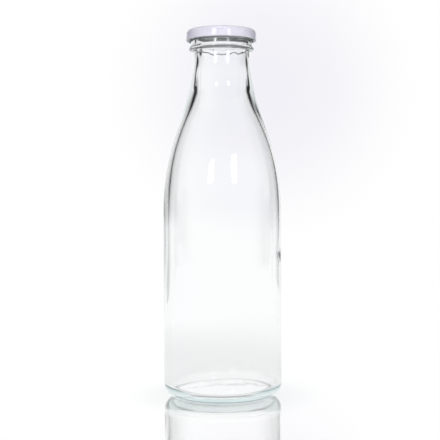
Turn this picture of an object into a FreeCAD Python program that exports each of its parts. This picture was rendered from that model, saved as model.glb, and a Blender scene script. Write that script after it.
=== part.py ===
"""Glass milk bottle with a lugged twist-off cap and its sealing ring.

Millimetres. +Z is up along the bottle's axis, and the origin is the centre of the ring it stands on.
"""
import FreeCAD, Part
import math
import os

# Bottle, overall
bottle_height = 265.0
body_radius = 42.8
wall_thickness = 2.6

# Base: outer heel, bearing ring and push-up, then the floor and heel inside
heel_radius = 10.0
bearing_width = 2.0
push_up = 4.0
floor_height = 6.0
floor_crown = 2.0
inner_heel_radius = 5.5

# Shoulder: one S-shaped sweep outside and a later, slower one inside
shoulder_length = 110.6
neck_sweep = 0.316
body_sweep = 0.423
inner_start_drop = 3.0
inner_end_drop = 17.1
inner_neck_sweep = 0.402
inner_body_sweep = 0.666

# Mouth and neck, measured out from the bore
bore_radius = 17.5
finish_wall = 4.7
neck_wall = 3.1
rim_outer_round = 1.2
rim_inner_round = 0.8

# Transfer bead under the cap
bead_stand = 1.3
bead_round = 3.0
bead_fillet = 2.0
cap_to_bead = 5.7

# Thread ramps on the glass
thread_starts = 4
thread_lead = 14.0
thread_span = 70.0
thread_before_lug = 20.0
thread_height = 1.65
thread_root_width = 2.0
thread_crest_width = 1.1
thread_crest_round = 0.25
thread_sink = 0.4

# Cap: pressed sheet with a rolled edge and lugs
sheet = 0.2
cap_height = 7.7
cap_corner_radius = 2.0
skirt_gap = 1.45
curl_radius = 0.6
curl_opening = 40.0
panel_step_inset = 3.0
panel_step_rise = 0.35
panel_step_run = 0.8
lug_angle = 18.0
lug_thickness = 0.9
lug_tip_gap = 0.7
lug_clearance = 0.15

# Sealing ring between rim and panel
seal_thickness = 0.8
seal_bore_step = 1.0
seal_corner_clearance = 0.2

# Radii that follow from the sizes above
inner_radius = body_radius - wall_thickness
finish_radius = bore_radius + finish_wall
neck_radius = bore_radius + neck_wall
bead_radius = finish_radius + bead_stand
thread_radius = finish_radius + thread_height
lug_tip_radius = finish_radius + lug_tip_gap
cap_radius = thread_radius + skirt_gap + sheet
panel_flat_radius = cap_radius - cap_corner_radius

# Heights that follow, counted up from the bearing ring
panel_underside_z = bottle_height + seal_thickness
cap_top_z = panel_underside_z + sheet
cap_edge_z = cap_top_z - cap_height
curl_z = cap_edge_z + curl_radius
lug_top_z = curl_z + lug_thickness / 2
bead_z = cap_edge_z - cap_to_bead

ORIGIN = FreeCAD.Vector(0, 0, 0)
UP = FreeCAD.Vector(0, 0, 1)


def at(radius, height):
    """A point of an outline, in the plane through the axis."""
    return FreeCAD.Vector(radius, 0, height)


def line(start, end):
    return Part.LineSegment(start, end).toShape()


def arc(start, middle, end):
    return Part.Arc(start, middle, end).toShape()


def turn(centre, radius, start_deg, end_deg):
    """An arc about a centre, from one angle to another, in the plane through the axis."""
    angles = (start_deg, (start_deg + end_deg) / 2, end_deg)
    points = [centre + at(radius * math.cos(math.radians(a)), radius * math.sin(math.radians(a))) for a in angles]
    return arc(*points)


def sweep(start, start_handle, end, end_handle):
    """An S-shaped curve that leaves one upright wall and joins another, with a handle along each."""
    curve = Part.BezierCurve()
    curve.setPoles([start, start + UP * start_handle, end - UP * end_handle, end])
    return curve.toShape()


def dome(radius, height, rise):
    """A shallow arc from the axis out to a radius, higher on the axis by the rise."""
    sphere = (radius ** 2 + rise ** 2) / (2 * rise)
    middle_drop = sphere - math.sqrt(sphere ** 2 - radius ** 2 / 4)
    return arc(at(0, height + rise), at(radius / 2, height + rise - middle_drop), at(radius, height))


def spin(edges, angle=360.0):
    """Turn a closed outline about the bottle's axis."""
    return Part.Face(Part.Wire(edges)).revolve(ORIGIN, UP, angle)


def base_outline():
    """Push-up, bearing ring and heel, ending at the foot of the upright wall."""
    bearing_radius = body_radius - heel_radius
    push_up_radius = bearing_radius - bearing_width
    return [
        dome(push_up_radius, 0, push_up),
        line(at(push_up_radius, 0), at(bearing_radius, 0)),
        turn(at(bearing_radius, heel_radius), heel_radius, -90, 0),
    ]


def shoulder_ends():
    """Heights where the outer shoulder leaves the body and joins the neck, with the bead's fillet angle."""
    reach = bead_round + bead_fillet
    across = reach - (bead_radius - neck_radius)
    down = math.sqrt(reach ** 2 - across ** 2)
    top = bead_z - down
    return top - shoulder_length, top, math.degrees(math.atan2(down, across))


def shoulder_and_finish_outline():
    """Upright wall, shoulder, neck, bead and the wall that carries the threads, up to the rim."""
    low, top, fillet_deg = shoulder_ends()
    bead_centre = at(bead_radius - bead_round, bead_z)
    bead_rise = math.sqrt(bead_round ** 2 - (bead_round - bead_stand) ** 2)
    bead_top_deg = math.degrees(math.atan2(bead_rise, bead_round - bead_stand))
    rim_centre = at(finish_radius - rim_outer_round, bottle_height - rim_outer_round)
    return [
        line(at(body_radius, heel_radius), at(body_radius, low)),
        sweep(at(body_radius, low), body_sweep * shoulder_length,
              at(neck_radius, top), neck_sweep * shoulder_length),
        turn(at(neck_radius + bead_fillet, top), bead_fillet, 180, 180 - fillet_deg),
        turn(bead_centre, bead_round, -fillet_deg, bead_top_deg),
        line(at(finish_radius, bead_z + bead_rise), at(finish_radius, rim_centre.z)),
        turn(rim_centre, rim_outer_round, 0, 90),
    ]


def inside_outline():
    """Rim land, bore, the sweep inside the shoulder, the inner wall, its heel and the floor."""
    low, top, _ = shoulder_ends()
    bore_end = top - inner_start_drop
    wall_top = low - inner_end_drop
    length = bore_end - wall_top
    rim_centre = at(bore_radius + rim_inner_round, bottle_height - rim_inner_round)
    floor_radius = inner_radius - inner_heel_radius
    heel_centre = at(floor_radius, floor_height + inner_heel_radius)
    return [
        line(at(finish_radius - rim_outer_round, bottle_height), at(rim_centre.x, bottle_height)),
        turn(rim_centre, rim_inner_round, 90, 180),
        line(at(bore_radius, rim_centre.z), at(bore_radius, bore_end)),
        sweep(at(bore_radius, bore_end), -inner_neck_sweep * length,
              at(inner_radius, wall_top), -inner_body_sweep * length),
        line(at(inner_radius, wall_top), at(inner_radius, heel_centre.z)),
        turn(heel_centre, inner_heel_radius, 0, -90),
        dome(floor_radius, floor_height, floor_crown),
        line(at(0, floor_height + floor_crown), at(0, push_up)),
    ]


def thread_half_width(radius):
    """Half the axial width of a thread ramp's straight flanks at a radius."""
    share = (radius - finish_radius) / (thread_height - thread_crest_round)
    return (thread_root_width + (thread_crest_width - thread_root_width) * share) / 2


def thread_ramp():
    """One ramp with a rounded crest, rising counter-clockwise over the top of its lug."""
    crest = thread_radius - thread_crest_round
    root = finish_radius - thread_sink
    corners = [at(root, -thread_half_width(root)), at(crest, -thread_half_width(crest)),
               at(crest, thread_half_width(crest)), at(root, thread_half_width(root))]
    section = Part.Wire([
        line(corners[0], corners[1]),
        arc(corners[1], at(thread_radius, 0), corners[2]),
        line(corners[2], corners[3]),
        line(corners[3], corners[0]),
    ])
    path = Part.makeHelix(thread_lead, thread_lead * thread_span / 360, finish_radius)
    ramp = Part.Wire(path.Edges).makePipeShell([section], True, True)
    over_lug = lug_top_z + lug_clearance + thread_half_width(lug_tip_radius)
    start_to_lug_edge = thread_before_lug - lug_angle / 2
    ramp.rotate(ORIGIN, UP, -thread_before_lug)
    ramp.translate(UP * (over_lug - thread_lead * start_to_lug_edge / 360))
    return ramp


def around(shape, count):
    """Copies of a shape spaced evenly about the axis."""
    copies = []
    for index in range(count):
        copy = shape.copy()
        copy.rotate(ORIGIN, UP, 360 / count * index)
        copies.append(copy)
    return copies


def glass_bottle():
    bottle = spin(base_outline() + shoulder_and_finish_outline() + inside_outline())
    return bottle.fuse(around(thread_ramp(), thread_starts))


def sealing_ring():
    """Flat ring from just outside the bore to the start of the cap's corner."""
    inner = bore_radius + seal_bore_step
    outer = panel_flat_radius - seal_corner_clearance
    ring = Part.makeCylinder(outer, seal_thickness, at(0, bottle_height))
    return ring.cut(Part.makeCylinder(inner, seal_thickness, at(0, bottle_height)))


def panel_edges(height):
    """One face of the panel: a raised centre, a sloping step and the flat over the sealing ring."""
    step_radius = bore_radius + seal_bore_step - panel_step_inset
    raised = height + panel_step_rise
    return [
        line(at(0, raised), at(step_radius - panel_step_run, raised)),
        line(at(step_radius - panel_step_run, raised), at(step_radius, height)),
        line(at(step_radius, height), at(panel_flat_radius, height)),
    ]


def lug():
    """A tongue pressed inward from the rolled edge, rounded at its tip."""
    half = lug_thickness / 2
    tip = lug_tip_radius + half
    root = cap_radius - curl_radius
    tongue = spin([
        line(at(root, curl_z + half), at(tip, curl_z + half)),
        turn(at(tip, curl_z), half, 90, 270),
        line(at(tip, curl_z - half), at(root, curl_z - half)),
        line(at(root, curl_z - half), at(root, curl_z + half)),
    ], lug_angle)
    tongue.rotate(ORIGIN, UP, -lug_angle / 2)
    return tongue


def cap_shell():
    """Panel, corner, skirt and the edge rolled inward, with its lugs."""
    corner = at(panel_flat_radius, cap_top_z - cap_corner_radius)
    curl = at(cap_radius - curl_radius, curl_z)
    inner_curl = curl_radius - sheet
    roll_end = FreeCAD.Vector(math.cos(math.radians(curl_opening)), 0, math.sin(math.radians(curl_opening)))
    outer_side = [
        turn(corner, cap_corner_radius, 90, 0),
        line(at(cap_radius, corner.z), at(cap_radius, curl_z)),
        turn(curl, curl_radius, 360, curl_opening),
        line(curl + roll_end * curl_radius, curl + roll_end * inner_curl),
    ]
    inner_side = [
        turn(curl, inner_curl, curl_opening, 360),
        line(at(cap_radius - sheet, curl_z), at(cap_radius - sheet, corner.z)),
        turn(corner, cap_corner_radius - sheet, 0, 90),
    ]
    panel = panel_edges(cap_top_z)
    underside = panel_edges(panel_underside_z)
    axis_edge = line(at(0, panel_underside_z + panel_step_rise), at(0, cap_top_z + panel_step_rise))
    shell = spin(panel + outer_side + inner_side + underside[::-1] + [axis_edge])
    return shell.fuse(around(lug(), thread_starts))


os.makedirs("parts", exist_ok=True)
glass_bottle().exportStep("parts/glass_bottle.step")
sealing_ring().exportStep("parts/sealing_ring.step")
cap_shell().exportStep("parts/cap_shell.step")
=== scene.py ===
"""Dress a glass milk bottle, its sealing ring and its white twist-off cap.

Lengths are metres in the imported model's frame: +Z up the bottle's axis, origin in the middle of its base.
"""
import logging
import math
from abc import ABC, abstractmethod
from dataclasses import dataclass
from enum import Enum
from typing import Any, ClassVar

import bpy
import numpy as np
from bpy.types import Material, Mesh, NodeSocket, NodeTree, Object
from mathutils import Matrix, Vector
from numpy import ndarray as Array


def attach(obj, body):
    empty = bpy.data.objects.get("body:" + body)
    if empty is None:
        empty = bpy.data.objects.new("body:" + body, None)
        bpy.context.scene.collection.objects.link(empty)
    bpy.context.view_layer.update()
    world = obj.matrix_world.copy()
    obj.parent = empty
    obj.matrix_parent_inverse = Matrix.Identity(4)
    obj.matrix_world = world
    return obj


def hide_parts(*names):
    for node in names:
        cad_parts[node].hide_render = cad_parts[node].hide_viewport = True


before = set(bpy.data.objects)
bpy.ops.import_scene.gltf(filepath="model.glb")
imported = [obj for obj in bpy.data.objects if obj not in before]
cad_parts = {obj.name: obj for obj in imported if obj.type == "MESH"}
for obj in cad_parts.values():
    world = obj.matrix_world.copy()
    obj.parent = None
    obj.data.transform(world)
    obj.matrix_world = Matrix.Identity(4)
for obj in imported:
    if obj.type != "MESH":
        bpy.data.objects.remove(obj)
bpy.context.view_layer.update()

MM = 0.001
WHITE = (1.0, 1.0, 1.0, 1.0)
FLATTEN = (1.0, 1.0, 0.0)
ONE_FACE = [(0, 1, 2, 3)]
BLOTCH_FADE = (0.5, 0.75)
LOG = logging.getLogger("milk_bottle")


class Body(Enum):
    """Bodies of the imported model."""

    BOTTLE = "bottle"
    SEAL = "seal"
    CAP = "cap"


class Node(Enum):
    """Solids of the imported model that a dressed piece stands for."""

    BOTTLE = "glass_bottle"
    SEAL = "sealing_ring"
    CAP = "cap_shell"


class Slot(Enum):
    """Material slot names, one set on each piece."""

    GLASS = "clear_glass"
    SEAL = "soft_seal"
    ENAMEL = "white_enamel"


# Curves in the plane through the axis, as arrays of (radius, height)


def straight(start: tuple, end: tuple, count: int) -> Array:
    """Points evenly spaced on a line from start to end, each a (radius, height)."""
    share = np.linspace(0.0, 1.0, count)[:, None]
    return np.asarray(start) * (1.0 - share) + np.asarray(end) * share


def turn(centre: tuple, radius: float, start_deg: float, end_deg: float, count: int) -> Array:
    """Points on an arc: the centre plus the radius times (cosine, sine) of an evenly stepped angle."""
    angle = np.radians(np.linspace(start_deg, end_deg, count))
    return np.asarray(centre) + radius * np.stack([np.cos(angle), np.sin(angle)], axis=1)


def sweep(start: tuple, start_handle: float, end: tuple, end_handle: float, count: int) -> Array:
    """Points on a cubic curve that leaves one upright wall and joins another.

    The four poles are the start, the start raised by its handle, the end lowered by its handle, and the end;
    each point is their sum weighted by the cubic Bernstein terms.

    Args:
        start: first (radius, height).
        start_handle: signed rise of the second pole.
        end: last (radius, height).
        end_handle: signed drop of the third pole.
        count: number of points.

    Returns:
        Array of shape (count, 2).
    """
    t = np.linspace(0.0, 1.0, count)[:, None]
    poles = np.array([start, (start[0], start[1] + start_handle), (end[0], end[1] - end_handle), end])
    weights = np.hstack([(1 - t) ** 3, 3 * t * (1 - t) ** 2, 3 * t ** 2 * (1 - t), t ** 3])
    return weights @ poles


def dome(radius: float, height: float, rise: float, count: int) -> Array:
    """Points on a shallow arc from the axis out to a radius, higher on the axis by the rise.

    Args:
        radius: outer radius.
        height: height at the outer radius.
        rise: extra height on the axis.
        count: number of points.

    Returns:
        Array of shape (count, 2).
    """
    sphere = (radius ** 2 + rise ** 2) / (2 * rise)
    out = np.linspace(0.0, radius, count)
    return np.stack([out, height + rise - sphere + np.sqrt(sphere ** 2 - out ** 2)], axis=1)


def chain(*runs: Array) -> Array:
    """Join runs of points, leaving out the first point of every run but the first."""
    return np.vstack([runs[0]] + [run[1:] for run in runs[1:]])


def smooth(value: Array, low: float, high: float) -> Array:
    """Ease from 0 at low to 1 at high with the cubic 3t² - 2t³."""
    t = np.clip((value - low) / (high - low), 0.0, 1.0)
    return t * t * (3.0 - 2.0 * t)


def bell(value: Array, centre: float, width: float) -> Array:
    """A bell of height 1: e to the minus square of the distance from the centre over the width."""
    return np.exp(-(((value - centre) / width) ** 2))


# Meshes


def ring_angles(count: int, crowding: float = 0.0) -> Array:
    """Angles once round, crowded at 0 and 180 degrees: t less crowding times half the sine of 2t."""
    t = np.linspace(0.0, 2 * math.pi, count, endpoint=False)
    return t - crowding * np.sin(2 * t) / 2


def surface_mesh(name: str, grid: Array, loop: bool = False) -> Mesh:
    """Closed mesh from a grid of points whose rows are rings round the axis.

    Where the profile is not a loop, its first and last rows lie on the axis, and each becomes one pole.

    Args:
        name: name of the mesh.
        grid: points of shape (rows, columns, 3).
        loop: True where the last row joins the first.

    Returns:
        The mesh, smooth shaded, with its faces pointing out.
    """
    rings = grid if loop else grid[1:-1]
    rows, columns = rings.shape[:2]
    index = np.arange(rows * columns).reshape(rows, columns)
    if loop:
        index = np.vstack([index, index[:1]])
    after = np.roll(index, -1, axis=1)
    points = rings.reshape(-1, 3)
    faces = np.stack([index[:-1], after[:-1], after[1:], index[1:]], axis=-1).reshape(-1, 4).tolist()
    if not loop:
        first_pole = np.full(columns, len(points))
        last_pole = first_pole + 1
        points = np.vstack([points, grid[0, :1], grid[-1, :1]])
        faces += np.stack([first_pole, after[0], index[0]], axis=-1).tolist()
        faces += np.stack([index[-1], after[-1], last_pole], axis=-1).tolist()
    mesh = bpy.data.meshes.new(name)
    mesh.from_pydata(points.tolist(), [], faces)
    mesh.polygons.foreach_set("use_smooth", np.ones(len(mesh.polygons), dtype=bool))
    mesh.validate()
    mesh.update()
    return mesh


def revolve(profile: Array, angles: Array) -> tuple[Array, Array, Array]:
    """Radius, angle and height grids of a profile carried round the axis.

    Args:
        profile: (radius, height) points.
        angles: angles round the axis.

    Returns:
        Three arrays of shape (points, angles).
    """
    around = np.broadcast_to(angles[None, :], (len(profile), len(angles)))
    radius = np.repeat(profile[:, :1], len(angles), axis=1)
    height = np.repeat(profile[:, 1:], len(angles), axis=1)
    return radius, around, height


def to_points(radius: Array, around: Array, height: Array) -> Array:
    """Points (radius cosine, radius sine, height) from the three grids."""
    return np.stack([radius * np.cos(around), radius * np.sin(around), height], axis=-1)


class Piece(ABC):
    """A dressed piece of the object, which stands for one node and rides on its body."""

    name: ClassVar[str]
    body: ClassVar[Body]
    node: ClassVar[Node]
    slot: ClassVar[Slot]

    @abstractmethod
    def mesh(self) -> Mesh:
        """The piece's finished mesh, in place."""

    def build(self, material: Material) -> None:
        """Put the piece into the scene.

        Args:
            material: its finish.
        """
        mesh = self.mesh()
        piece = bpy.data.objects.new(self.name, mesh)
        bpy.context.scene.collection.objects.link(piece)
        mesh.materials.append(material)
        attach(piece, self.body.value)
        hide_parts(self.node.value)
        LOG.info("%s: %d faces, stands for %s", self.name, len(mesh.polygons), self.node.value)


# Shader helpers


class Shader:
    """A material's or group's node tree, with short calls to add and join nodes."""

    def __init__(self, tree: NodeTree) -> None:
        """Keep the tree and empty it."""
        self.tree = tree
        tree.nodes.clear()

    def node(self, kind: str, values: dict[str | int, Any] | None = None, **settings: Any) -> bpy.types.Node:
        """Add a node.

        Args:
            kind: the node's class name without its ShaderNode prefix.
            values: input names or numbers to plain values, or to output sockets to link.
            settings: attributes of the node.

        Returns:
            The node.
        """
        made = self.tree.nodes.new(f"ShaderNode{kind}")
        for key, value in settings.items():
            setattr(made, key, value)
        for key, value in (values or {}).items():
            self.feed(made.inputs[key], value)
        return made

    def feed(self, socket: NodeSocket, value: Any) -> None:
        """Link an output to a socket, or set the socket's own value.

        Args:
            socket: an input socket.
            value: an output socket, or a plain value.
        """
        if isinstance(value, NodeSocket):
            self.tree.links.new(value, socket)
        else:
            socket.default_value = value

    def math(self, operation: str, *values: Any) -> NodeSocket:
        """Add a Math node with its inputs in order, plain or linked, and give its output."""
        return self.node("Math", dict(enumerate(values)), operation=operation).outputs[0]

    def ramp(self, value: Any, low: float, high: float, start: float = 0.0,
             end: float = 1.0) -> NodeSocket:
        """Ease a value from low..high to start..end with the cubic 3t² - 2t³, and give the result."""
        given = dict(enumerate((value, low, high, start, end)))
        return self.node("MapRange", given, interpolation_type="SMOOTHSTEP", clamp=True).outputs[0]

    def mix_colours(self, share: Any, one: Any, other: Any) -> NodeSocket:
        """Mix from one colour, at share 0, to the other, at share 1."""
        return self.node("Mix", {0: share, 6: one, 7: other}, data_type="RGBA").outputs[2]

    def mix_numbers(self, share: Any, one: Any, other: Any) -> NodeSocket:
        """Mix from one number, at share 0, to the other, at share 1."""
        return self.node("Mix", {0: share, 2: one, 3: other}, data_type="FLOAT").outputs[0]

    def mix_shaders(self, share: Any, one: bpy.types.Node, other: bpy.types.Node) -> bpy.types.Node:
        """Mix from one shader, at share 0, to the other, at share 1."""
        return self.node("MixShader", {0: share, 1: one.outputs[0], 2: other.outputs[0]})

    def place(self) -> NodeSocket:
        """The object's own coordinates."""
        return self.node("TexCoord").outputs["Object"]

    def length(self, vector: Any) -> NodeSocket:
        """The length of a vector."""
        return self.node("VectorMath", {0: vector}, operation="LENGTH").outputs["Value"]

    def radius_and_height(self, place: Any) -> tuple[NodeSocket, NodeSocket]:
        """Distance from the axis and height over the base, from Object coordinates."""
        flat = self.node("VectorMath", {0: place, 1: FLATTEN}, operation="MULTIPLY")
        return self.length(flat.outputs[0]), self.node("SeparateXYZ", {0: place}).outputs[2]


def new_material(name: str) -> tuple[Material, Shader]:
    """An empty node material.

    Args:
        name: the material's name.

    Returns:
        The material and its shader helper.
    """
    material = bpy.data.materials.new(name)
    material.use_nodes = True
    return material, Shader(material.node_tree)


def new_group(name: str, inputs: dict[str, float], outputs: list[str]) -> tuple[NodeTree, Shader]:
    """An empty shader node group with float sockets.

    Args:
        name: the group's name.
        inputs: input names and their default values, besides the Vector input that every group has.
        outputs: output names.

    Returns:
        The group and its shader helper.
    """
    tree = bpy.data.node_groups.new(name, "ShaderNodeTree")
    tree.interface.new_socket("Vector", in_out="INPUT", socket_type="NodeSocketVector")
    for key, value in inputs.items():
        tree.interface.new_socket(key, in_out="INPUT", socket_type="NodeSocketFloat").default_value = value
    for key in outputs:
        tree.interface.new_socket(key, in_out="OUTPUT", socket_type="NodeSocketFloat")
    return tree, Shader(tree)


def grain_group() -> NodeTree:
    """Fine even grain with a slower drift under it, put out as a height and as a slow mask.

    Returns:
        The group.
    """
    tree, shader = new_group("fine_grain", {"Fine Scale": 900.0, "Slow Scale": 40.0}, ["Height", "Drift"])
    given = tree.nodes.new("NodeGroupInput").outputs
    result = tree.nodes.new("NodeGroupOutput")
    layers = (("Height", "Fine Scale", 2.0, 0.5), ("Drift", "Slow Scale", 3.0, 0.55))
    for key, scale, detail, roughness in layers:
        noise = shader.node("TexNoise", {"Vector": given["Vector"], "Scale": given[scale],
                                         "Detail": detail, "Roughness": roughness})
        shader.feed(result.inputs[key], noise.outputs[0])
    return tree


def handling_group() -> NodeTree:
    """Faint handling marks: soft blotches cut by a threshold, put out as one mask.

    Returns:
        The group.
    """
    tree, shader = new_group("handling_marks", {"Scale": 30.0, "Amount": 0.5}, ["Mask"])
    given = tree.nodes.new("NodeGroupInput").outputs
    result = tree.nodes.new("NodeGroupOutput")
    noise = shader.node("TexNoise", {"Vector": given["Vector"], "Scale": given["Scale"],
                                     "Detail": 5.0, "Roughness": 0.62, "Distortion": 0.4})
    blotch = shader.ramp(noise.outputs[0], *BLOTCH_FADE)
    shader.feed(result.inputs["Mask"], shader.math("MULTIPLY", blotch, given["Amount"]))
    return tree


@dataclass(frozen=True)
class SharedEffects:
    """Node groups that more than one finish uses."""

    grain: NodeTree
    handling: NodeTree

    @classmethod
    def make(cls) -> "SharedEffects":
        """Build each group once."""
        return cls(grain_group(), handling_group())

    def grain_on(self, shader: Shader, place: NodeSocket, scale: float) -> bpy.types.Node:
        """Add the grain to a material, with its fine scale."""
        return shader.node("Group", {"Vector": place, "Fine Scale": scale}, node_tree=self.grain)

    def marks_on(self, shader: Shader, place: NodeSocket) -> NodeSocket:
        """Add the handling marks to a material and give their mask."""
        return shader.node("Group", {"Vector": place}, node_tree=self.handling).outputs["Mask"]


def bump_of(shader: Shader, grain: bpy.types.Node, depth: float) -> NodeSocket:
    """Normals bent by the grain's height, to a depth in metres."""
    given = {"Height": grain.outputs["Height"], "Strength": 1.0, "Distance": depth}
    return shader.node("Bump", given).outputs[0]


@dataclass(frozen=True)
class GlassFinish:
    """Clear flint glass with a trace of teal in its depth, faint mould texture and handling marks."""

    tint: tuple = (1.0, 0.997, 1.0, 1.0)
    ior: float = 1.52
    depth_colour: tuple = (0.65, 0.80, 0.80, 1.0)
    depth_density: float = 13.0
    texture_scale: float = 55.0
    texture_depth: float = 0.00003
    mark_roughness: float = 0.012
    shadow_colour: tuple = (0.86, 0.88, 0.88, 1.0)
    trapped_turns: float = 2.5
    plate_radius: float = 31.0 * MM
    plate_height: float = 5.0 * MM
    plate_cloud: tuple = (0.38, 0.55)
    plate_least: float = 0.55
    plate_later: float = 0.5

    def make(self, effects: SharedEffects) -> Material:
        """Build the material: a transmissive surface over an absorbing volume.

        It is clear to shadow rays, and to light that has been reflected more than twice. The push-up's
        stippled face is partly open to light, less so after a reflection.

        Args:
            effects: shared node groups.

        Returns:
            The material.
        """
        material, shader = new_material("clear_glass")
        place = shader.place()
        grain = effects.grain_on(shader, place, self.texture_scale)
        path = shader.node("LightPath")
        turns = path.outputs["Glossy Depth"]
        surface = shader.node("BsdfPrincipled", {
            "Base Color": self.tint, "Metallic": 0.0, "IOR": self.ior, "Transmission Weight": 1.0,
            "Roughness": shader.math("MULTIPLY", effects.marks_on(shader, place), self.mark_roughness),
            "Normal": bump_of(shader, grain, self.texture_depth)})
        cloud = shader.ramp(grain.outputs["Drift"], *self.plate_cloud, self.plate_least, 1.0)
        direct = shader.ramp(turns, 0.0, 1.0, 1.0, self.plate_later)
        plate = shader.math("MULTIPLY", self.underside_mask(shader, place), cloud)
        plate = shader.math("MULTIPLY", plate, direct)
        skin = shader.mix_shaders(plate, surface, shader.node("BsdfTransparent"))
        clear = shader.node("BsdfTransparent", {"Color": self.shadow_colour})
        trapped = shader.math("GREATER_THAN", turns, self.trapped_turns)
        passed = shader.math("MAXIMUM", path.outputs["Is Shadow Ray"], trapped)
        whole = shader.mix_shaders(passed, skin, clear)
        depth = shader.node("VolumeAbsorption", {"Color": self.depth_colour, "Density": self.depth_density})
        shader.node("OutputMaterial", {"Surface": whole.outputs[0], "Volume": depth.outputs[0]})
        return material

    def underside_mask(self, shader: Shader, place: NodeSocket) -> NodeSocket:
        """Mask that is 1 on the push-up under the base, which is low and near the axis, and 0 elsewhere."""
        radius, height = shader.radius_and_height(place)
        return shader.math("MULTIPLY", shader.math("LESS_THAN", radius, self.plate_radius),
                           shader.math("LESS_THAN", height, self.plate_height))


@dataclass(frozen=True)
class EnamelFinish:
    """White baked enamel with orange peel outside, and clear lacquer over bare tinplate inside, its colour
    darkened there as painted shade.
    """

    colour: tuple = (0.73, 0.715, 0.81, 1.0)
    shade: tuple = (0.69, 0.67, 0.775, 1.0)
    roughness: float = 0.1
    peel_scale: float = 900.0
    peel_depth: float = 0.000004
    mark_roughness: float = 0.04
    ior: float = 1.5
    # The inside's tinplate colour, darkened as painted shade under the cap.
    tin_and_shade_colour: tuple = (0.33, 0.33, 0.34, 1.0)
    tin_roughness: float = 0.32
    tin_corner_radius: float = 22.9 * MM
    tin_corner_height: float = 263.4 * MM
    tin_corner_round: float = 2.5 * MM
    raised_radius: float = 15.1 * MM
    raised_step: float = 0.35 * MM

    def make(self, effects: SharedEffects) -> Material:
        """Build the material.

        Args:
            effects: shared node groups.

        Returns:
            The material.
        """
        material, shader = new_material("white_enamel")
        place = shader.place()
        grain = effects.grain_on(shader, place, self.peel_scale)
        marks = effects.marks_on(shader, place)
        # Inside the cap: tinplate, its colour darkened as painted shade.
        inside = self.inside_mask(shader, place)
        enamel = shader.mix_colours(grain.outputs["Drift"], self.colour, self.shade)
        gloss = shader.math("MULTIPLY_ADD", inside, self.tin_roughness - self.roughness, self.roughness)
        surface = shader.node("BsdfPrincipled", {
            "Base Color": shader.mix_colours(inside, enamel, self.tin_and_shade_colour), "Metallic": inside,
            "Roughness": shader.math("MULTIPLY_ADD", marks, self.mark_roughness, gloss), "IOR": self.ior,
            "Normal": bump_of(shader, grain, self.peel_depth)})
        shader.node("OutputMaterial", {"Surface": surface.outputs[0]})
        return material

    def inside_mask(self, shader: Shader, place: NodeSocket) -> NodeSocket:
        """Mask of the cap's inside: all that lies within the middle of the sheet.

        The middle of the sheet is the set of points at one distance from a corner circle, counted outward
        and upward only, with the panel's raised centre taken off first.

        Args:
            shader: the material's helper.
            place: Object coordinates.

        Returns:
            A socket that is 1 inside and 0 outside.
        """
        radius, height = shader.radius_and_height(place)
        raised = shader.math("LESS_THAN", radius, self.raised_radius)
        height = shader.math("MULTIPLY_ADD", raised, -self.raised_step, height)
        out = shader.math("MAXIMUM", shader.math("SUBTRACT", radius, self.tin_corner_radius), 0.0)
        up = shader.math("MAXIMUM", shader.math("SUBTRACT", height, self.tin_corner_height), 0.0)
        away = shader.length(shader.node("CombineXYZ", {0: out, 1: up}).outputs[0])
        return shader.math("LESS_THAN", away, self.tin_corner_round)


@dataclass(frozen=True)
class SealFinish:
    """Soft off-white sealing compound, matte with a fine grain."""

    colour: tuple = (0.72, 0.71, 0.66, 1.0)
    shade: tuple = (0.62, 0.61, 0.56, 1.0)
    roughness: float = 0.55
    grain_scale: float = 900.0
    grain_depth: float = 0.00002

    def make(self, effects: SharedEffects) -> Material:
        """Build the material.

        Args:
            effects: shared node groups.

        Returns:
            The material.
        """
        material, shader = new_material("soft_seal")
        grain = effects.grain_on(shader, shader.place(), self.grain_scale)
        surface = shader.node("BsdfPrincipled", {
            "Base Color": shader.mix_colours(grain.outputs["Drift"], self.colour, self.shade),
            "Roughness": self.roughness, "Normal": bump_of(shader, grain, self.grain_depth)})
        shader.node("OutputMaterial", {"Surface": surface.outputs[0]})
        return material


@dataclass(frozen=True)
class Swell:
    """A swelling round the whole bottle, or a hollow where its size is negative."""

    size: float
    middle: float
    width: float

    def at(self, height: Array) -> Array:
        """Extra radius: the size times a bell about the middle height."""
        return self.size * bell(height, self.middle, self.width)


@dataclass(frozen=True)
class Wave:
    """A wave round the axis, which may turn as it climbs."""

    size: float
    crests: int
    phase: float = 0.0
    climb: float = math.inf

    def at(self, around: Array, height: Array) -> Array:
        """Extra radius: size times the cosine of crests times the angle, plus phase and height over climb."""
        return self.size * np.cos(self.crests * around + self.phase + height / self.climb)


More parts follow.
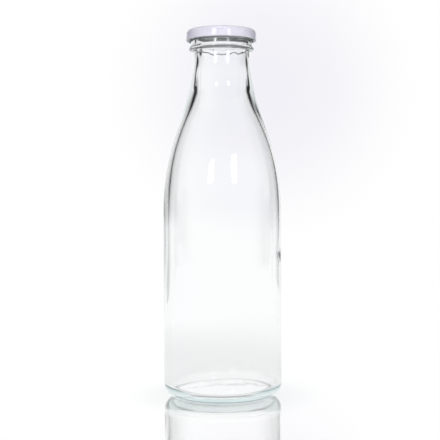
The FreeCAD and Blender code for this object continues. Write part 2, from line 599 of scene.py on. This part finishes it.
@dataclass(frozen=True)
class BlownInside:
    """How the blown inside departs from an even one; each fade is a pair of heights."""

    neck_top: float = 245.06 * MM
    neck_length: float = 23.0 * MM
    neck_flare: float = 0.025
    neck_straighten: float = 3.014
    neck_thicker: float = 0.4 * MM
    thicker_fade: tuple = (250.0 * MM, 258.0 * MM)
    bend_length: float = 22.0 * MM
    bend_depth: float = 1.42 * MM
    pleats: tuple = (Wave(0.14 * MM, 6, 0.8), Wave(0.13 * MM, 11, -0.4), Wave(0.1 * MM, 19, 2.0))
    pleat_height: float = 250.0 * MM
    pleat_width: float = 3.0 * MM
    ripple_size: float = 0.16 * MM
    ripple_climb: float = 14.5 * MM
    ripple_tilt: float = 1.7
    ripple_fade: tuple = (20.0 * MM, 60.0 * MM)
    lobes: tuple = (Wave(0.12 * MM, 2, climb=31.0 * MM), Wave(0.07 * MM, 3, climb=-22.0 * MM))
    floor_fade: tuple = (12.0 * MM, 30.0 * MM)
    mouth_fade: tuple = (236.0 * MM, 246.0 * MM)
    dent: Swell = Swell(-0.5 * MM, 106.2 * MM, 4.2 * MM)
    dent_angle: float = 0.35
    shift_body: float = 0.6 * MM
    shift_neck: float = 0.4 * MM
    shift_change: tuple = (120.0 * MM, 240.0 * MM)
    shift_floor_fade: tuple = (0.0, 30.0 * MM)
    shift_rim_fade: tuple = (250.0 * MM, 262.0 * MM)

    def neck(self, height: Array) -> Array:
        """A thick, straight neck and the quick bend under it.

        Down the neck the extra radius is the flare times the drop, less the square of the drop times a factor
        that straightens the even inside, less the extra thickness. Down the bend it is the bend's depth,
        inward, times the square of the share of the bend that is left.

        Args:
            height: heights.

        Returns:
            Extra radius, of the same shape.
        """
        drop = np.clip(self.neck_top - height, 0.0, None)
        thicker = self.neck_thicker * (1.0 - smooth(height, *self.thicker_fade))
        straight_neck = self.neck_flare * drop - self.neck_straighten * drop ** 2 - thicker
        left = 1.0 - np.clip((drop - self.neck_length) / self.bend_length, 0.0, 1.0)
        return np.where(drop < self.neck_length, straight_neck, -self.bend_depth * left ** 2)

    def waves(self, around: Array, height: Array) -> Array:
        """Pleats in a bell about their height, tilted ripples and lobes up the wall, and one dent at angle 0.

        A ripple is the sine of the height over its climb, plus the tilt times the cosine of the angle.

        Args:
            around: angles.
            height: heights.

        Returns:
            Extra radius, of the same shape.
        """
        pleats = sum(wave.at(around, height) for wave in self.pleats)
        pleats = pleats * bell(height, self.pleat_height, self.pleat_width)
        tilted = height / self.ripple_climb + self.ripple_tilt * np.cos(around)
        ripples = self.ripple_size * np.sin(tilted) * smooth(height, *self.ripple_fade)
        lobes = sum(wave.at(around, height) for wave in self.lobes)
        up_the_wall = smooth(height, *self.floor_fade) * (1.0 - smooth(height, *self.mouth_fade))
        aside = np.mod(around + math.pi, 2 * math.pi) - math.pi
        dent = self.dent.at(height) * bell(aside, 0.0, self.dent_angle)
        return pleats + dent + (ripples + lobes) * up_the_wall

    def shift(self, height: Array) -> Array:
        """How far the inside stands off the axis towards +X: eased from body to neck, none at floor and rim.

        Args:
            height: heights.

        Returns:
            The shift, of the same shape.
        """
        share = smooth(height, *self.shift_change)
        shift = self.shift_body * (1.0 - share) + self.shift_neck * share
        return shift * smooth(height, *self.shift_floor_fade) * (1.0 - smooth(height, *self.shift_rim_fade))


@dataclass
class Bottle(Piece):
    """The glass: base, body, shoulder, neck, bead, thread ramps and rim, outside and in."""

    name = "bottle_glass"
    body = Body.BOTTLE
    node = Node.BOTTLE
    slot = Slot.GLASS

    height: float = 265.0 * MM
    body_radius: float = 42.8 * MM
    wall: float = 2.6 * MM
    heel_radius: float = 10.0 * MM
    bearing_width: float = 2.0 * MM
    push_up: float = 4.0 * MM
    floor_height: float = 6.0 * MM
    floor_crown: float = 2.0 * MM
    inner_heel_radius: float = 5.5 * MM
    shoulder_top: float = 248.06 * MM
    shoulder_length: float = 110.6 * MM
    neck_sweep: float = 0.316
    body_sweep: float = 0.423
    inner_start_drop: float = 3.0 * MM
    inner_end_drop: float = 17.1 * MM
    inner_neck_sweep: float = 0.402
    inner_body_sweep: float = 0.666
    bore_radius: float = 17.5 * MM
    finish_radius: float = 22.2 * MM
    neck_radius: float = 20.6 * MM
    rim_outer_round: float = 1.2 * MM
    rim_inner_round: float = 0.8 * MM
    bead_radius: float = 23.5 * MM
    bead_round: float = 2.6 * MM
    bead_under_round: float = 1.4 * MM
    bead_fillet: float = 0.6 * MM
    bead_height: float = 252.6 * MM
    thread_starts: int = 4
    thread_lead: float = 14.0 * MM
    thread_span: float = math.radians(70.0)
    thread_before_lug: float = math.radians(20.0)
    thread_over_lug: float = 260.65 * MM
    thread_height: float = 1.65 * MM
    thread_root_half: float = 1.0 * MM
    thread_crest_half: float = 0.5 * MM
    thread_fade: float = math.radians(9.0)
    thread_margin: float = 0.5
    seam_height: float = 0.05 * MM
    seam_width: float = 0.35 * MM
    seam_foot: float = 4.0 * MM
    seam_crowding: float = 0.6
    swells: tuple = (Swell(0.3 * MM, 230.5 * MM, 5.5 * MM), Swell(-0.15 * MM, 240.5 * MM, 5.0 * MM),
                     Swell(-0.4 * MM, 206.0 * MM, 12.0 * MM))
    inside: BlownInside = BlownInside()
    ring_count: int = 304

    def bead_foot(self) -> tuple[float, float]:
        """Where the bead's lower fillet starts and ends.

        Returns:
            Height where it leaves the neck, and the angle in degrees where it meets the bead.
        """
        reach = self.bead_under_round + self.bead_fillet
        across = reach - (self.bead_radius - self.neck_radius)
        down = math.sqrt(reach ** 2 - across ** 2)
        return self.bead_height - down, math.degrees(math.atan2(down, across))

    def outer_profile(self) -> Array:
        """Outside of the glass from the middle of the push-up to the rim's land.

        Returns:
            (radius, height) points.
        """
        top = self.shoulder_top
        low = top - self.shoulder_length
        foot, fillet = self.bead_foot()
        bearing = self.body_radius - self.heel_radius
        inside = bearing - self.bearing_width
        stand = self.bead_radius - self.finish_radius
        bead_rise = math.sqrt(self.bead_round ** 2 - (self.bead_round - stand) ** 2)
        bead_top = math.degrees(math.atan2(bead_rise, self.bead_round - stand))
        rim = (self.finish_radius - self.rim_outer_round, self.height - self.rim_outer_round)
        return chain(
            dome(inside, 0.0, self.push_up, 14),
            straight((inside, 0.0), (bearing, 0.0), 4),
            turn((bearing, self.heel_radius), self.heel_radius, -90, 0, 16),
            straight((self.body_radius, self.heel_radius), (self.body_radius, low), 22),
            sweep((self.body_radius, low), self.body_sweep * self.shoulder_length,
                  (self.neck_radius, top), self.neck_sweep * self.shoulder_length, 44),
            straight((self.neck_radius, top), (self.neck_radius, foot), 4),
            turn((self.neck_radius + self.bead_fillet, foot), self.bead_fillet, 180, 180 - fillet, 7),
            turn((self.bead_radius - self.bead_under_round, self.bead_height), self.bead_under_round,
                 -fillet, 0, 9),
            turn((self.bead_radius - self.bead_round, self.bead_height), self.bead_round, 0, bead_top, 9),
            straight((self.finish_radius, self.bead_height + bead_rise), (self.finish_radius, rim[1]), 48),
            turn(rim, self.rim_outer_round, 0, 90, 7),
        )

    def inner_profile(self) -> Array:
        """Inside of the glass from the rim's land down to the middle of the floor.

        Returns:
            (radius, height) points.
        """
        bore_end = self.shoulder_top - self.inner_start_drop
        wall_top = self.shoulder_top - self.shoulder_length - self.inner_end_drop
        length = bore_end - wall_top
        inner = self.body_radius - self.wall
        floor = inner - self.inner_heel_radius
        rim = (self.bore_radius + self.rim_inner_round, self.height - self.rim_inner_round)
        return chain(
            straight((self.finish_radius - self.rim_outer_round, self.height), (rim[0], self.height), 4),
            turn(rim, self.rim_inner_round, 90, 180, 6),
            straight((self.bore_radius, rim[1]), (self.bore_radius, bore_end), 10),
            sweep((self.bore_radius, bore_end), -self.inner_neck_sweep * length,
                  (inner, wall_top), -self.inner_body_sweep * length, 50),
            straight((inner, wall_top), (inner, self.floor_height + self.inner_heel_radius), 44),
            turn((floor, self.floor_height + self.inner_heel_radius), self.inner_heel_radius, 0, -90, 14),
            dome(floor, self.floor_height, self.floor_crown, 12)[::-1],
        )

    def threads(self, around: Array, height: Array) -> Array:
        """How far the thread ramps stand out: a flat-topped ridge about each helix, faded at both ends.

        Each ramp's middle climbs by the lead per turn from its low end, and the ridge eases from its root's
        half width to its crest's half width.

        Args:
            around: angles.
            height: heights.

        Returns:
            Extra radius, of the same shape.
        """
        extra = np.zeros_like(height)
        for start in range(self.thread_starts):
            begin = 2 * math.pi * start / self.thread_starts - self.thread_before_lug
            along = np.mod(around - begin + self.thread_margin, 2 * math.pi) - self.thread_margin
            climb = self.thread_lead * (along - self.thread_before_lug) / (2 * math.pi)
            middle = self.thread_over_lug + climb
            ridge = 1.0 - smooth(np.abs(height - middle), self.thread_crest_half, self.thread_root_half)
            ends = smooth(along, 0.0, self.thread_fade) * (
                1.0 - smooth(along, self.thread_span - self.thread_fade, self.thread_span))
            extra = np.maximum(extra, ridge * ends)
        return extra * self.thread_height

    def seams(self, radius: Array, around: Array, height: Array) -> Array:
        """How far the two mould seams stand out: a bell across each, from the heel to the bead.

        Args:
            radius: radii.
            around: angles.
            height: heights.

        Returns:
            Extra radius, of the same shape.
        """
        across = np.abs(np.sin(around)) * radius
        span = smooth(height, self.seam_foot, self.heel_radius) * (
            1.0 - smooth(height, self.bead_height, self.bead_height + self.bead_round))
        return self.seam_height * bell(across, 0.0, self.seam_width) * span

    def mesh(self) -> Mesh:
        """Outside and inside carried round the axis as one closed skin.

        The outside's radius is its profile's plus threads, seams and swells. The inside's is its profile's
        plus the neck and waves of the blown shape, and its rings are then shifted off the axis.

        Returns:
            The mesh.
        """
        angles = ring_angles(self.ring_count, self.seam_crowding)
        radius, around, height = revolve(self.outer_profile(), angles)
        radius = radius + self.threads(around, height)
        radius = radius + self.seams(radius, around, height)
        radius = radius + sum(swell.at(height) for swell in self.swells)
        skin = to_points(np.minimum(radius, self.body_radius), around, height)
        radius, around, height = revolve(self.inner_profile()[1:], angles)
        radius = radius + self.inside.neck(height) + self.inside.waves(around, height)
        core = to_points(radius, around, height)
        core[..., 0] += self.inside.shift(height)
        return surface_mesh(self.name, np.concatenate([skin, core]))


@dataclass
class Cap(Piece):
    """The pressed sheet cap: panel, corner, skirt, rolled edge and lugs."""

    name = "cap_enamel"
    body = Body.CAP
    node = Node.CAP
    slot = Slot.ENAMEL

    radius: float = 25.5 * MM
    sheet: float = 0.2 * MM
    top: float = 266.0 * MM
    height: float = 7.7 * MM
    corner: float = 2.6 * MM
    curl: float = 0.6 * MM
    curl_opening: float = 40.0
    step_radius: float = 15.5 * MM
    step_run: float = 0.8 * MM
    step_rise: float = 0.35 * MM
    lugs: int = 4
    lug_half_angle: float = math.radians(9.0)
    lug_fade: float = math.radians(3.0)
    lug_reach: float = 1.4 * MM
    lug_flatten: float = 0.25
    press_start: float = 0.8
    press_full: float = 2.0
    press_top: float = 1.01
    ring_count: int = 240

    def profile(self) -> Array:
        """Top face, skirt, rolled edge and the same faces back up inside.

        Returns:
            (radius, height) points.
        """
        edge = self.top - self.height
        curl = (self.radius - self.curl, edge + self.curl)
        corner = (self.radius - self.corner, self.top - self.corner)
        under = self.top - self.sheet
        inner_radius = self.radius - self.sheet
        start = self.step_radius - self.step_run
        return chain(
            straight((0.0, self.top + self.step_rise), (start, self.top + self.step_rise), 6),
            straight((start, self.top + self.step_rise), (self.step_radius, self.top), 5),
            straight((self.step_radius, self.top), (corner[0], self.top), 6),
            turn(corner, self.corner, 90, 0, 10),
            straight((self.radius, corner[1]), (self.radius, curl[1]), 8),
            turn(curl, self.curl, 360, self.curl_opening, 26),
            turn(curl, self.curl - self.sheet, self.curl_opening, 360, 20),
            straight((inner_radius, curl[1]), (inner_radius, corner[1]), 6),
            turn(corner, self.corner - self.sheet, 0, 90, 8),
            straight((corner[0], under), (self.step_radius, under), 5),
            straight((self.step_radius, under), (start, under + self.step_rise), 5),
            straight((start, under + self.step_rise), (0.0, under + self.step_rise), 6),
        )

    def mesh(self) -> Mesh:
        """The profile carried round the axis, with the rolled edge pressed inward and flattened at each lug.

        Where the press starts, is full and ends upward is counted in radii of the rolled edge.

        Returns:
            The mesh.
        """
        radius, around, height = revolve(self.profile(), ring_angles(self.ring_count))
        pitch = 2 * math.pi / self.lugs
        across = np.abs(np.mod(around + pitch / 2, pitch) - pitch / 2)
        pressed = 1.0 - smooth(across, self.lug_half_angle - self.lug_fade, self.lug_half_angle)
        middle = self.top - self.height + self.curl
        rolled = smooth((self.radius - radius) / self.curl, self.press_start, self.press_full)
        near_edge = height < middle + self.curl * self.press_top
        share = np.where(near_edge, rolled * pressed, 0.0)
        radius = radius - self.lug_reach * share
        height = np.where(near_edge, middle + (height - middle) * (1.0 - self.lug_flatten * share), height)
        return surface_mesh(self.name, to_points(radius, around, height))


@dataclass
class SealingRing(Piece):
    """The soft ring between the rim and the cap's panel."""

    name = "seal_compound"
    body = Body.SEAL
    node = Node.SEAL
    slot = Slot.SEAL

    inner: float = 18.5 * MM
    outer: float = 23.3 * MM
    bottom: float = 265.0 * MM
    thickness: float = 0.8 * MM
    edge_round: float = 0.25 * MM
    ring_count: int = 160

    def mesh(self) -> Mesh:
        """A flat ring with rounded edges, carried round the axis.

        Returns:
            The mesh.
        """
        low = self.bottom + self.edge_round
        high = self.bottom + self.thickness - self.edge_round
        near = self.inner + self.edge_round
        far = self.outer - self.edge_round
        corners = ((far, low), (far, high), (near, high), (near, low))
        section = np.vstack([turn(corner, self.edge_round, 90 * side - 90, 90 * side, 5)
                             for side, corner in enumerate(corners)])
        grid = to_points(*revolve(section, ring_angles(self.ring_count)))
        return surface_mesh(self.name, grid, loop=True)


@dataclass
class View:
    """The camera, at the photograph's viewing angle."""

    distance: float = 0.713
    height: float = 0.1487
    side: float = -0.0016
    level_deg: float = 90.0
    pitch_deg: float = -1.624
    roll_deg: float = -0.29
    focal_px: float = 977.0
    frame_px: float = 440.0
    sensor_mm: float = 36.0

    def build(self) -> Object:
        """Add the camera and make it the scene's own.

        Returns:
            The camera object.
        """
        data = bpy.data.cameras.new("photo_view")
        data.sensor_width = self.sensor_mm
        data.lens = self.sensor_mm * self.focal_px / self.frame_px
        camera = bpy.data.objects.new("photo_view", data)
        bpy.context.scene.collection.objects.link(camera)
        aim = Matrix.Rotation(math.radians(self.level_deg + self.pitch_deg), 4, "X")
        roll = Matrix.Rotation(math.radians(self.roll_deg), 4, "Z")
        camera.matrix_world = Matrix.Translation((self.side, -self.distance, self.height)) @ aim @ roll
        bpy.context.scene.camera = camera
        LOG.info("camera: lens %.1f mm", data.lens)
        return camera


@dataclass(frozen=True)
class Softbox:
    """A rectangular area lamp, whose level is its surface brightness, where 1 is white.

    Gloss and glass do not show a lamp that is not mirrored.
    """

    name: str
    place: tuple
    size: tuple
    level: float
    aim: tuple = (0.0, 0.0, 0.16)
    mirrored: bool = True


@dataclass
class Studio:
    """Pale floor and surround, and a card behind, a wall in front and lamps that are tied to the camera.

    Each fade is a pair of limits between which a level eases.
    """

    camera: Object
    floor_half: float = 3.0
    floor_height: float = -0.00001
    floor_colour: tuple = (0.86, 0.865, 0.875, 1.0)
    floor_roughness: float = 0.02
    floor_mirror: float = 0.7
    mirror_colour: tuple = (0.97, 0.97, 0.97, 1.0)
    mirror_blend: float = 0.5
    mirror_fade: tuple = (0.5, 0.72)
    floor_diffuse: float = 0.2
    floor_white: float = 1.2
    # Painted shadow under the heel: a dark ring in the glow that glass shows, and a darker teal to look at.
    heel_shadow_ring: float = 0.0355
    heel_shadow_width: float = 0.004
    heel_shadow_level: float = 0.35
    heel_shadow_reach: float = 0.08
    heel_shadow_tint: tuple = (0.7, 0.76, 0.76, 1.0)
    heel_shadow_turns: float = 1.5
    under_floor: float = 0.033
    under_floor_level: float = 1.0
    near_floor: float = 0.1
    far_floor: float = 0.5
    # Painted shade round the bottle, in the glow that glass shows.
    near_floor_shade_level: float = 0.87
    card_distance: float = 0.6
    card_half_width: float = 0.75
    card_bottom: float = -0.3
    card_top: float = 0.9
    left_fade: tuple = (-0.64, -0.36)
    right_fade: tuple = (0.36, 0.5)
    top_fade: tuple = (0.42, 0.72)
    side_fade: tuple = (0.08, 0.22)
    low_side_level: float = 0.6
    card_fill: float = 0.1
    cool_side: float = 0.055
    cool_height: float = 0.29
    cool_fade: tuple = (0.03, 0.23)
    cool_white: tuple = (0.885, 0.88, 0.93, 1.0)
    front_distance: float = 1.3
    front_top: float = 9.0
    front_reach: float = math.radians(105.0)
    front_fade: float = math.radians(62.0)
    front_end_level: float = 0.4
    front_panels: int = 42
    lamps: tuple = (
        Softbox("left_strip", (-0.36, -0.83, 0.4), (0.15, 0.06), 11.0),
        Softbox("right_strip", (0.375, -0.82, 0.4), (0.15, 0.06), 7.0),
        Softbox("left_window", (-0.36, -0.83, 0.49), (0.16, 0.12), 3.0),
        Softbox("right_window", (0.375, -0.82, 0.5), (0.2, 0.14), 3.0),
        Softbox("broad_fill", (0.0, -0.95, 0.6), (2.0, 0.6), 2.3, mirrored=False),
        Softbox("top_fill", (0.0, -0.15, 1.1), (0.8, 0.8), 1.8, aim=(0.0, 0.0, 0.26), mirrored=False),
    )
    surround: float = 0.025
    surround_colour: tuple = (0.97, 0.97, 1.0, 1.0)
    horizon: float = 1.0
    horizon_fade: tuple = (-0.06, 0.1)
    ambient: float = 0.15

    def build(self) -> None:
        """Add the floor, the card, the front wall, the lamps and the world."""
        bpy.context.scene.view_settings.view_transform = "Standard"
        self.build_floor()
        self.build_card()
        self.build_front()
        for lamp in self.lamps:
            self.add_lamp(lamp)
        self.build_world()

    def with_camera(self, thing: Object) -> None:
        """Tie a thing to the camera where it stands, so that the set goes round with the view.

        Args:
            thing: a piece of the set or a lamp.
        """
        bpy.context.view_layer.update()
        thing.parent = self.camera
        thing.matrix_parent_inverse = self.camera.matrix_world.inverted()

    def add_stage(self, name: str, points: list[tuple], faces: list[tuple], material: Material) -> Object:
        """Add a piece of the set, which is no part of the object.

        Args:
            name: the piece's name.
            points: its points.
            faces: numbers of each face's points.
            material: its finish.

        Returns:
            The new object.
        """
        mesh = bpy.data.meshes.new(name)
        mesh.from_pydata(points, [], faces)
        mesh.materials.append(material)
        thing = bpy.data.objects.new(name, mesh)
        bpy.context.scene.collection.objects.link(thing)
        LOG.info("stage: %s", name)
        return thing

    def build_floor(self) -> None:
        """A wide pale sheet just under the bottle: white to look at, part mirror, and plain to diffuse light.

        To look at, it turns a darker teal round the heel, a painted shadow tinted like light through glass.
        What glass shows of it is a glow that changes with the distance from the axis, dimmer round the bottle
        as painted shade, with a painted dark shadow ring under the heel, which light reflected more than once
        does not meet.
        """
        edge = self.floor_half
        low = self.floor_height
        corners = [(-edge, -edge, low), (edge, -edge, low), (edge, edge, low), (-edge, edge, low)]
        material, shader = new_material("pale_floor")
        radius = shader.length(shader.place())
        path = shader.node("LightPath")
        plain = shader.node("BsdfDiffuse", {"Color": self.floor_colour})
        # Painted shadow round the heel, to look at: the white eases from a darker teal out to white.
        clear_of_shadow = shader.ramp(radius, self.heel_shadow_ring, self.heel_shadow_reach)
        tint = shader.mix_colours(clear_of_shadow, self.heel_shadow_tint, WHITE)
        white = shader.node("Emission", {"Color": tint, "Strength": self.floor_white})
        body = shader.mix_shaders(self.floor_diffuse, white, plain)
        mirror = shader.node("BsdfGlossy", {"Color": self.mirror_colour, "Roughness": self.floor_roughness})
        facing = shader.node("LayerWeight", {"Blend": self.mirror_blend}).outputs["Facing"]
        share = shader.ramp(facing, *self.mirror_fade, 0.0, self.floor_mirror)
        seen = shader.mix_shaders(share, body, mirror)
        # Painted shade: the glow that glass shows is dimmer round the bottle.
        near = shader.ramp(radius, self.under_floor, self.near_floor,
                           self.under_floor_level, self.near_floor_shade_level)
        far = shader.ramp(radius, self.near_floor, self.far_floor, self.near_floor_shade_level, 1.0)
        # Painted shadow ring under the heel, lifted for light reflected more than once.
        from_shadow_ring = shader.math("ABSOLUTE", shader.math("SUBTRACT", radius, self.heel_shadow_ring))
        heel_shadow = shader.ramp(from_shadow_ring, 0.0, self.heel_shadow_width, self.heel_shadow_level, 1.0)
        turned = shader.math("GREATER_THAN", path.outputs["Glossy Depth"], self.heel_shadow_turns)
        heel_shadow = shader.math("MAXIMUM", heel_shadow, turned)
        level = shader.math("MULTIPLY", shader.math("MAXIMUM", near, far), heel_shadow)
        glow = shader.node("Emission", {"Strength": level})
        indirect = shader.mix_shaders(path.outputs["Is Diffuse Ray"], glow, plain)
        whole = shader.mix_shaders(path.outputs["Is Camera Ray"], indirect, seen)
        shader.node("OutputMaterial", {"Surface": whole.outputs[0]})
        self.add_stage("floor", corners, ONE_FACE, material)

    def build_card(self) -> None:
        """A bright card behind the bottle, a shade cooler in its middle, dark beyond its sides and top."""
        wide = self.card_half_width
        back = self.card_distance
        corners = [(-wide, back, self.card_bottom), (wide, back, self.card_bottom),
                   (wide, back, self.card_top), (-wide, back, self.card_top)]
        material, shader = new_material("bright_card")
        spot = shader.place()
        place = shader.node("SeparateXYZ", {0: spot})
        left = shader.ramp(place.outputs[0], *self.left_fade)
        right = shader.ramp(place.outputs[0], *self.right_fade, 1.0, 0.0)
        upward = shader.ramp(place.outputs[2], *self.top_fade, 1.0, 0.0)
        level = shader.math("MULTIPLY", shader.math("MULTIPLY", left, right), upward)
        side = shader.ramp(place.outputs[2], *self.side_fade, self.low_side_level, self.surround)
        strength = shader.math("MAXIMUM", level, side)
        diffuse = shader.node("LightPath").outputs["Is Diffuse Ray"]
        cool_spot = (self.cool_side, back, self.cool_height)
        away = shader.node("VectorMath", {0: spot, 1: cool_spot}, operation="DISTANCE").outputs["Value"]
        neutral = shader.ramp(away, *self.cool_fade)
        glow = shader.node("Emission", {
            "Color": shader.mix_colours(neutral, self.cool_white, WHITE),
            "Strength": shader.mix_numbers(diffuse, strength, self.card_fill)})
        shader.node("OutputMaterial", {"Surface": glow.outputs[0]})
        self.with_camera(self.add_stage("bright_card", corners, ONE_FACE, material))

    def build_front(self) -> None:
        """A tall curved wall behind the camera, which only gloss and glass show, fading to both its ends.

        Its points are the distance times (sine, minus cosine) of an evenly stepped angle, on the floor and at
        the top.
        """
        turns = np.linspace(-self.front_reach, self.front_reach, self.front_panels + 1)
        foot = self.front_distance * np.stack([np.sin(turns), -np.cos(turns), np.zeros_like(turns)], axis=1)
        points = np.vstack([foot, foot + (0.0, 0.0, self.front_top)])
        low = np.arange(self.front_panels)
        high = low + len(foot)
        faces = np.stack([low, low + 1, high + 1, high], axis=1)
        material, shader = new_material("front_wall")
        place = shader.node("SeparateXYZ", {0: shader.place()})
        ahead = shader.math("MULTIPLY", place.outputs[1], -1.0)
        aside = shader.math("ARCTAN2", shader.math("ABSOLUTE", place.outputs[0]), ahead)
        level = shader.ramp(aside, self.front_fade, self.front_reach, 1.0, self.front_end_level)
        glow = shader.node("Emission", {"Strength": level})
        shader.node("OutputMaterial", {"Surface": glow.outputs[0]})
        wall = self.add_stage("front_wall", points.tolist(), faces.tolist(), material)
        wall.visible_camera = False
        wall.visible_diffuse = False
        wall.visible_shadow = False
        self.with_camera(wall)

    def add_lamp(self, softbox: Softbox) -> None:
        """Add an area lamp, turned to face its aim.

        Args:
            softbox: the lamp's place, size and level.
        """
        data = bpy.data.lights.new(softbox.name, "AREA")
        data.shape = "RECTANGLE"
        wide, tall = softbox.size
        data.size = wide
        data.size_y = tall
        data.energy = softbox.level * math.pi * wide * tall
        lamp = bpy.data.objects.new(softbox.name, data)
        bpy.context.scene.collection.objects.link(lamp)
        turn_to = (Vector(softbox.place) - Vector(softbox.aim)).to_track_quat("Z", "Y")
        lamp.matrix_world = Matrix.Translation(softbox.place) @ turn_to.to_matrix().to_4x4()
        lamp.visible_glossy = softbox.mirrored
        lamp.visible_transmission = softbox.mirrored
        self.with_camera(lamp)
        LOG.info("lamp: %s", softbox.name)

    def build_world(self) -> None:
        """A dark surround with a paler horizon for what glass shows, and a soft level for diffuse light."""
        world = bpy.data.worlds.new("surround")
        world.use_nodes = True
        shader = Shader(world.node_tree)
        diffuse = shader.node("LightPath").outputs["Is Diffuse Ray"]
        climb = shader.node("SeparateXYZ", {0: shader.node("TexCoord").outputs["Generated"]}).outputs[2]
        seen = shader.ramp(climb, *self.horizon_fade, self.horizon, self.surround)
        strength = shader.mix_numbers(diffuse, seen, self.ambient)
        light = shader.node("Background", {"Color": self.surround_colour, "Strength": strength})
        shader.node("OutputWorld", {"Surface": light.outputs[0]})
        bpy.context.scene.world = world


def main() -> None:
    """Build the view, the set and the dressed pieces, in order."""
    logging.basicConfig(level=logging.INFO, format="%(name)s %(message)s")
    camera = View().build()
    Studio(camera).build()
    effects = SharedEffects.make()
    Bottle().build(GlassFinish().make(effects))
    SealingRing().build(SealFinish().make(effects))
    Cap().build(EnamelFinish().make(effects))


if __name__ == "__main__":
    main()
